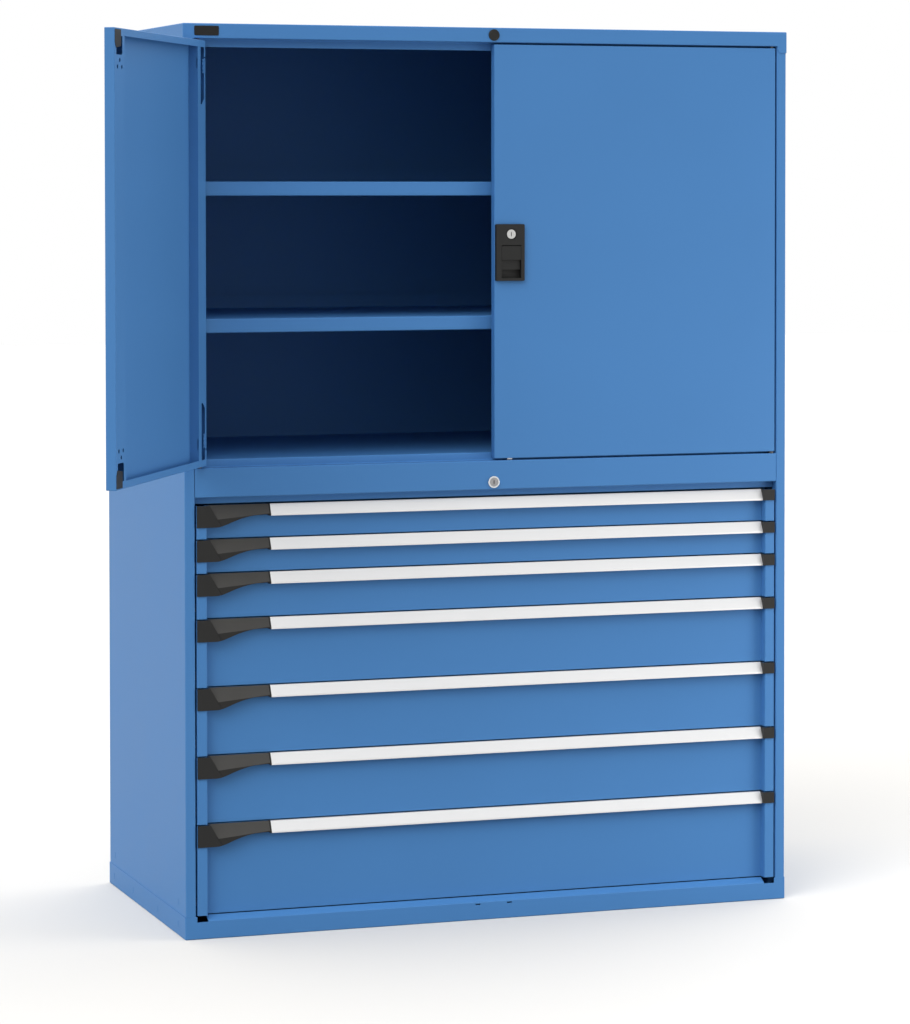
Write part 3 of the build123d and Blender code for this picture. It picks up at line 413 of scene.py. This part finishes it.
# ---------------------------------------------------------------- floor
# A plain pale floor, wide enough to fill the view behind the cabinet, that keeps its soft shadow.
# The camera and mirrored rays see it pale; for diffuse light it is darker, so little comes up.
floor_seen = 0.77
floor_lit = 0.25
floor_size = 60
bpy.ops.mesh.primitive_plane_add(size=floor_size)
floor = bpy.context.object
floor.name = "floor"
floor_paint, add, wire = shader("floor")
path = add("ShaderNodeLightPath").outputs
looked_at = add(
    "ShaderNodeMath", {0: path["Is Camera Ray"], 1: path["Is Glossy Ray"]}, operation="MAXIMUM"
).outputs["Value"]
seen = add("ShaderNodeMapRange", {"Value": looked_at, "To Min": floor_lit, "To Max": floor_seen})
wire(
    Base_Color=tinted(add, (1.0, 0.98, 0.945, 1.0), seen.outputs["Result"], 0.0, 1.0),
    Roughness=1.0,
    Specular_IOR_Level=0.0,
)
floor.data.materials.append(floor_paint)

# ---------------------------------------------------------------- light
# A white studio whose walls and ceiling glow unevenly: soft pools of light round the cabinet, and
# a dim glow everywhere else. Only diffuse light has them; all other rays see plain white.
base_glow = 0.46
pools = (  # degrees to the right of the front, degrees up, sharpness, strength
    (-50.0, 40.0, 12.0, 4.4),
    (-120.0, 45.0, 4.0, 0.6),
    (120.0, 45.0, 4.0, 1.1),
    (160.0, 50.0, 3.0, 0.5),
    (70.0, 12.0, 4.0, 0.55),
)
world = bpy.data.worlds.new("studio")
bpy.context.scene.world = world
world.use_nodes = True
links = world.node_tree.links


def world_node(kind, inputs, **settings):
    """Adds a node to the world; an input is a value, or another node's output to link."""
    node = world.node_tree.nodes.new(kind)
    for key, value in settings.items():
        setattr(node, key, value)
    for key, value in inputs.items():
        if isinstance(value, bpy.types.NodeSocket):
            links.new(value, node.inputs[key])
        else:
            node.inputs[key].default_value = value
    return node


def glow_of(direction, pools, base):
    """The base plus, for each pool, strength times the cosine to its middle to a power."""
    total = base
    for right, up, sharpness, strength in pools:
        right, up = math.radians(right), math.radians(up)
        middle = (math.cos(up) * math.sin(right), -math.cos(up) * math.cos(right), math.sin(up))
        near = world_node(
            "ShaderNodeVectorMath", {0: direction, 1: middle}, operation="DOT_PRODUCT"
        )
        clipped = world_node(
            "ShaderNodeMath", {0: near.outputs["Value"], 1: 0.0}, operation="MAXIMUM"
        )
        pool = world_node(
            "ShaderNodeMath", {0: clipped.outputs[0], 1: sharpness}, operation="POWER"
        )
        total = world_node(
            "ShaderNodeMath", {0: pool.outputs[0], 1: strength, 2: total}, operation="MULTIPLY_ADD"
        ).outputs[0]
    return total


direction = world_node("ShaderNodeTexCoord", {}).outputs["Generated"]
path = world_node("ShaderNodeLightPath", {}).outputs
mirrored = world_node("ShaderNodeMath", {0: path["Is Glossy Ray"], 1: path["Is Transmission Ray"]})
plain = world_node(
    "ShaderNodeMath", {0: path["Is Camera Ray"], 1: mirrored.outputs["Value"]}, use_clamp=True
).outputs["Value"]
glow = glow_of(direction, pools, base_glow)
strength = world_node("ShaderNodeMix", {"Factor": plain, "A": glow, "B": 1.0}, data_type="FLOAT")
background = world.node_tree.nodes["Background"]
background.inputs["Color"].default_value = (1.0, 1.0, 1.0, 1.0)
links.new(strength.outputs["Result"], background.inputs["Strength"])

# A square soft box stands low to the right of the front and brightens the cabinet's right side.
soft_box = bpy.data.lights.new("soft box", "AREA")
soft_box.shape = "SQUARE"
soft_box.size = 1.0
soft_box.energy = 17.0
soft_box_stand = bpy.data.objects.new("soft box", soft_box)
bpy.context.scene.collection.objects.link(soft_box_stand)
soft_box_stand.location = (2.2, -1.7, 0.7)
soft_box_aim = Vector((0.4, -0.36, 0.9)) - soft_box_stand.location
soft_box_stand.rotation_euler = soft_box_aim.to_track_quat("-Z", "Y").to_euler()

# ---------------------------------------------------------------- camera
# A long lens at eye height, to the left of the cabinet's middle; the lens is shifted so that the
# upright edges stay nearly parallel.
camera_data = bpy.data.cameras.new("camera")
camera = bpy.data.objects.new("camera", camera_data)
bpy.context.scene.collection.objects.link(camera)
camera.location = (-2.7115, -8.1765, 1.6405)
camera_dip, camera_turn = 1.872, 19.792  # degrees below level, degrees to the right of straight on
camera.rotation_euler = (math.radians(90 - camera_dip), 0, math.radians(-camera_turn))
camera_data.sensor_width = 36.0
camera_data.lens = 130.13
camera_data.shift_x = -0.0793
camera_data.shift_y = -0.1974
camera_data.clip_end = 100
bpy.context.scene.camera = camera
bpy.context.scene.view_settings.view_transform = "Standard"
